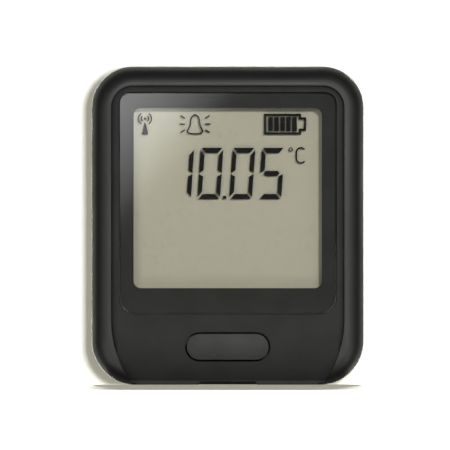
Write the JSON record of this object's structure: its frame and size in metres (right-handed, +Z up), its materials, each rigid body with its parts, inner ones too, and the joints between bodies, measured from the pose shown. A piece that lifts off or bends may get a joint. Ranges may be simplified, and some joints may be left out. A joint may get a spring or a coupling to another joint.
{
  "type": "temperature data logger",
  "caption": "Moulded wall-mounting data logger with a reflective segment display behind a clear window, an oblong push button and a charging socket in its base.",
  "frame": {"origin": "middle of the base, on the surface that the housing stands on", "axes": "+Z up, the display faces -Y, +X to the right when looking at the display"},
  "size_m": [0.07, 0.023, 0.082],
  "materials": {
    "casing": "moulded charcoal plastic, finely grained",
    "button": "moulded dark grey plastic",
    "window": "clear polished plastic",
    "print": "black screen print",
    "adhesive": "black adhesive film",
    "foam": "closed-cell foam",
    "polariser": "clear film",
    "glass": "thin flat glass",
    "seal": "cured sealant",
    "reflector": "olive-grey reflective film",
    "figures": "dark display segments",
    "elastomer": "striped contact elastomer",
    "frame_plastic": "natural moulded plastic",
    "board": "green solder mask",
    "radio_board": "blue solder mask",
    "tin": "tinned sheet steel",
    "steel": "zinc-plated steel",
    "chip": "moulded epoxy",
    "ceramic": "ceramic",
    "ferrite": "ferrite",
    "pouch": "laminated foil",
    "pad": "foam tape",
    "connector": "nylon",
    "lead": "insulated wire"
  },
  "bodies": {
    "housing": {"front_casing": "casing", "rear_casing": "casing", "window_lens": "window", "window_border": "print", "lens_adhesive": "adhesive", "display_gasket": "foam", "front_polariser": "polariser", "front_glass": "glass", "display_figures": "figures", "cell_seal": "seal", "rear_glass": "glass", "rear_reflector": "reflector", "contact_strip": "elastomer", "display_frame": "frame_plastic", "main_board": "board", "switch_base": "chip", "switch_cover": "steel", "usb_shell": "tin", "usb_tongue": "chip", "radio_board": "radio_board", "radio_can": "tin", "microcontroller": "chip", "charger_chip": "chip", "crystal": "tin", "power_inductor": "ferrite", "capacitors": "ceramic", "temperature_sensor": "chip", "battery_cell": "pouch", "battery_pad": "pad", "battery_header": "connector", "battery_plug": "connector", "battery_leads": "lead", "board_screws": "steel", "case_screws": "steel"},
    "button": {"button_cap": "button"},
    "plunger": {"switch_plunger": "chip"}
  },
  "joints": [
    {"name": "button_press", "type": "slide", "parent": "housing", "child": "button", "axis": [0, 1, 0], "range_m": [0, 0.0004], "stiffness_N_per_m": 1000},
    {"name": "plunger_press", "type": "slide", "parent": "housing", "child": "plunger", "axis": [0, 1, 0], "range_m": [0, 0.0004]}
  ],
  "couplings": [
    {"joint": "plunger_press", "follows": "button_press", "ratio": 1}
  ]
}
